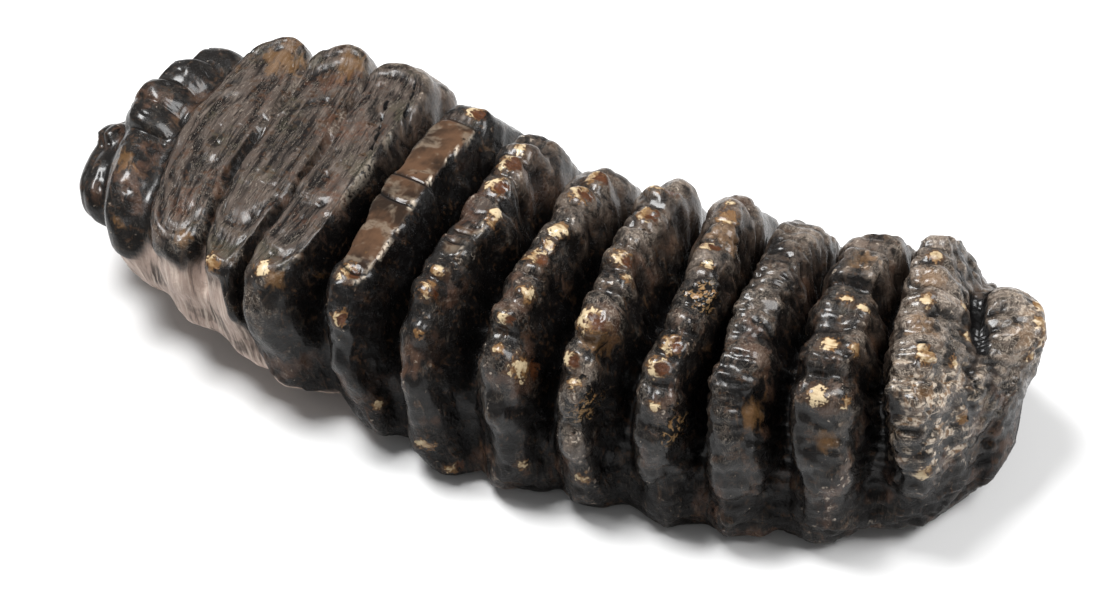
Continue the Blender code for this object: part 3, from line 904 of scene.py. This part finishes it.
# %% Colour of the tips, ripples and porous patches
def with_tips(graph, mask, grain, skin):
    skin = graph.mix(0.45 * graph.ramp(mask.gold + 2.2 * (grain.drip - 0.5), 0.25, 0.85), skin, GOLD)
    spot = graph.node("ShaderNodeMath", {"operation": "MAXIMUM"}, {0: mask.cream, 1: mask.ring})
    skin = graph.mix(0.8 * graph.ramp(spot + grain.ragged, 0.12, 0.45), skin, HALO)
    skin = graph.mix(0.7 * graph.ramp(spot + 1.6 * (grain.speck - 0.5), 0.40, 0.60), skin, GOLD)
    tips = graph.mix(graph.ramp(grain.mottle + 0.7 * grain.fold, 0.98, 0.72), CREAM, CREAM_BROWN)
    skin = graph.mix(0.9 * graph.ramp(spot + grain.ragged, 0.52, 0.70), skin, tips)
    core = graph.mix(grain.speck, CORE_BROWN, FLANK_BLACK)
    return graph.mix(graph.ramp(mask.core + 0.7 * grain.ragged, 0.42, 0.60), skin, core)


def with_ripples(graph, mask, grain, skin):
    ripple = graph.ramp(grain.fold + 0.6 * grain.mottle + 0.2 * grain.speck, 0.90, 1.06)
    shade = graph.mix(graph.ramp(grain.speck, 0.38, 0.58), GOLD, RIM_CREAM)
    return graph.mix(0.85 * mask.ripples * ripple, skin, shade)


def with_porous_patches(graph, mask, grain, skin):
    shade = graph.mix(graph.ramp(grain.mottle, 0.40, 0.62), GOLD, CREAM_BROWN)
    return graph.mix(mask.patch, skin, graph.mix(grain.pores, shade, FLANK_BLACK))


# %% [markdown]
# Root, seams and cracks
#
# The root has no enamel. At the worn end it is rosy, with fine pale streaks that run down it, and further
# along it is nearly black. Dirt fills the seams and cracks, so these are laid on last.

# %% Colour of the root, seams and cracks
def with_root(graph, mask, grain, skin):
    bark = graph.mix(graph.ramp(mask.phase, 3.5, 6.5), ROOT_ROSE, ROOT_DARK)
    bark = graph.mix(0.8 * graph.ramp(grain.cloud + 0.5 * grain.mottle, 0.72, 0.92), bark, FLANK_BROWN)
    paler = graph.ramp(grain.streak + 0.2 * grain.mottle, 0.58, 0.78) * graph.ramp(mask.phase, 7, 3)
    bark = graph.mix(0.7 * paler, bark, ROOT_STREAK)
    bark = graph.mix(0.5 * graph.ramp(grain.streak, 0.46, 0.34), bark, WORN_DARK)
    return graph.mix(mask.root, skin, bark)


def with_dirt(graph, mask, skin):
    skin = graph.mix(mask.seams, skin, STAIN_AND_SHADE_BLACK)
    return graph.mix(graph.ramp(mask.crack, 0.1, 0.55), skin, STAIN_AND_SHADE_BLACK)


# %% [markdown]
# Polish and fine bump
#
# Handling has polished the tooth. The gloss is a thin clear coat, high up only, because the low parts
# would mirror the pale ground. What is finer than the mesh goes into a bump, and the same noises that
# give the colours drive it, so that a pale wisp also stands proud.

# %% Bump of the finest grain
BUMP_STRENGTH, BUMP_DISTANCE = 0.9, 1.5
COAT, COAT_ROUGHNESS, SPECULAR = 0.4, 0.18, 0.1


def grain_bump(graph, mask, grain):
    enamel = 0.5 * grain.drip + 0.15 * grain.speck + 0.5 * abs(grain.wisp - 0.5) + 0.15 * grain.fold
    chewed = 0.35 * grain.band + 0.2 * grain.streak + 0.1 * grain.speck
    height = enamel * (1 - 0.8 * mask.calm) * (1 - mask.worn) + chewed * mask.worn
    height = height + 0.4 * grain.streak * mask.root - 0.5 * mask.patch * grain.pores
    height = height * (1 - 0.7 * mask.amber)
    inputs = {"Strength": BUMP_STRENGTH, "Distance": BUMP_DISTANCE * MM, "Height": height}
    return graph.node("ShaderNodeBump", {}, inputs, "Normal")


# %% Put the material together
def enamel_material():
    material = bpy.data.materials.new("fossil_enamel_fine")
    graph = Graph(material)
    mask, grain = read_masks(graph), read_noises(graph)
    mask.patch = graph.ramp(mask.porous + grain.ragged, 0.42, 0.62)
    skin = enamel_colour(graph, mask, grain)
    layers = (
        with_depth, with_wisps, with_chewed_faces, with_amber_band, with_tips, with_ripples,
        with_porous_patches, with_root,
    )
    for layer in layers:
        skin = layer(graph, mask, grain, skin)
    coat = COAT * mask.lift * (1 - 0.7 * mask.root) * (1 - 0.5 * mask.worn)
    rough = 0.14 + 0.28 * grain.mottle + 0.20 * mask.root - 0.08 * mask.amber
    graph.feed(graph.shader.inputs["Base Color"], with_dirt(graph, mask, skin))
    graph.feed(graph.shader.inputs["Roughness"], rough)
    graph.feed(graph.shader.inputs["Normal"], grain_bump(graph, mask, grain))
    graph.feed(graph.shader.inputs["Coat Weight"], coat)
    graph.shader.inputs["Coat Roughness"].default_value = COAT_ROUGHNESS
    graph.shader.inputs["Specular IOR Level"].default_value = SPECULAR
    return material


tooth.data.materials.append(enamel_material())
print("material has", len(tooth.data.materials[0].node_tree.nodes), "nodes")

# %% [markdown]
# Camera
#
# The camera looks down on the tooth at 48 degrees, from a little to the right of straight ahead, with a
# short telephoto lens. It aims at the middle of the drawing in which the ridges were laid out.

# %% Place the camera
CAMERA_TURN, CAMERA_DOWN = math.radians(17), math.radians(48)
CAMERA_DISTANCE, CAMERA_LENS = 0.741, 85
TARGET = Vector((-BOX_MIDDLE[0], -BOX_MIDDLE[1], 28.5)) * MM


def aimed(thing, place, target):
    """Puts a camera or light at a place and points it at a target."""
    thing.location = place
    thing.rotation_euler = (target - place).to_track_quat("-Z", "Y").to_euler()
    bpy.context.scene.collection.objects.link(thing)


camera = bpy.data.objects.new("camera", bpy.data.cameras.new("camera"))
camera.data.lens = CAMERA_LENS
camera.data.clip_start = 0.01
level = math.cos(CAMERA_DOWN)
look = Vector((-math.sin(CAMERA_TURN) * level, math.cos(CAMERA_TURN) * level, -math.sin(CAMERA_DOWN)))
aimed(camera, TARGET - look * CAMERA_DISTANCE, TARGET)
bpy.context.scene.camera = camera
print("camera at", [round(value, 3) for value in camera.location])

# %% [markdown]
# Floor and light
#
# The tooth lies on a plain white ground. A soft key light hangs over its left end and a weaker soft light
# over its right end, both high and a little behind, so the crests catch them and the flanks that face
# the camera fall off into the dark valleys. Light from the ground keeps the low parts readable. The
# standard view transform keeps the ground white.

# %% Set up the studio
FLOOR_SIZE, FLOOR_GREY, FLOOR_ROUGHNESS = 6, 0.65, 0.9
# each light's name, its place, its size in metres and its power in watts
LIGHTS = (("key", (-0.5, 0.1, 1.3), 0.5, 30), ("side", (0.75, 0.1, 1.1), 0.6, 17))
SKY_STRENGTH = 0.28


def studio_floor():
    bm = bmesh.new()
    bmesh.ops.create_grid(bm, x_segments=1, y_segments=1, size=FLOOR_SIZE / 2)
    mesh = bpy.data.meshes.new("floor")
    bm.to_mesh(mesh)
    bm.free()
    floor = bpy.data.objects.new("floor", mesh)
    material = bpy.data.materials.new("white_ground")
    material.use_nodes = True
    shader = material.node_tree.nodes["Principled BSDF"]
    shader.inputs["Base Color"].default_value = (FLOOR_GREY, FLOOR_GREY, FLOOR_GREY, 1)
    shader.inputs["Roughness"].default_value = FLOOR_ROUGHNESS
    mesh.materials.append(material)
    bpy.context.scene.collection.objects.link(floor)


def soft_light(name, place, size, power):
    light = bpy.data.lights.new(name, "AREA")
    light.size = size
    light.energy = power
    aimed(bpy.data.objects.new(name, light), Vector(place), TARGET)


studio_floor()
for light in LIGHTS:
    soft_light(*light)
world = bpy.data.worlds.new("studio")
world.use_nodes = True
world.node_tree.nodes["Background"].inputs["Color"].default_value = (1, 1, 1, 1)
world.node_tree.nodes["Background"].inputs["Strength"].default_value = SKY_STRENGTH
bpy.context.scene.world = world
bpy.context.scene.view_settings.view_transform = "Standard"
print("lights", [thing.name for thing in bpy.data.objects if thing.type == "LIGHT"])
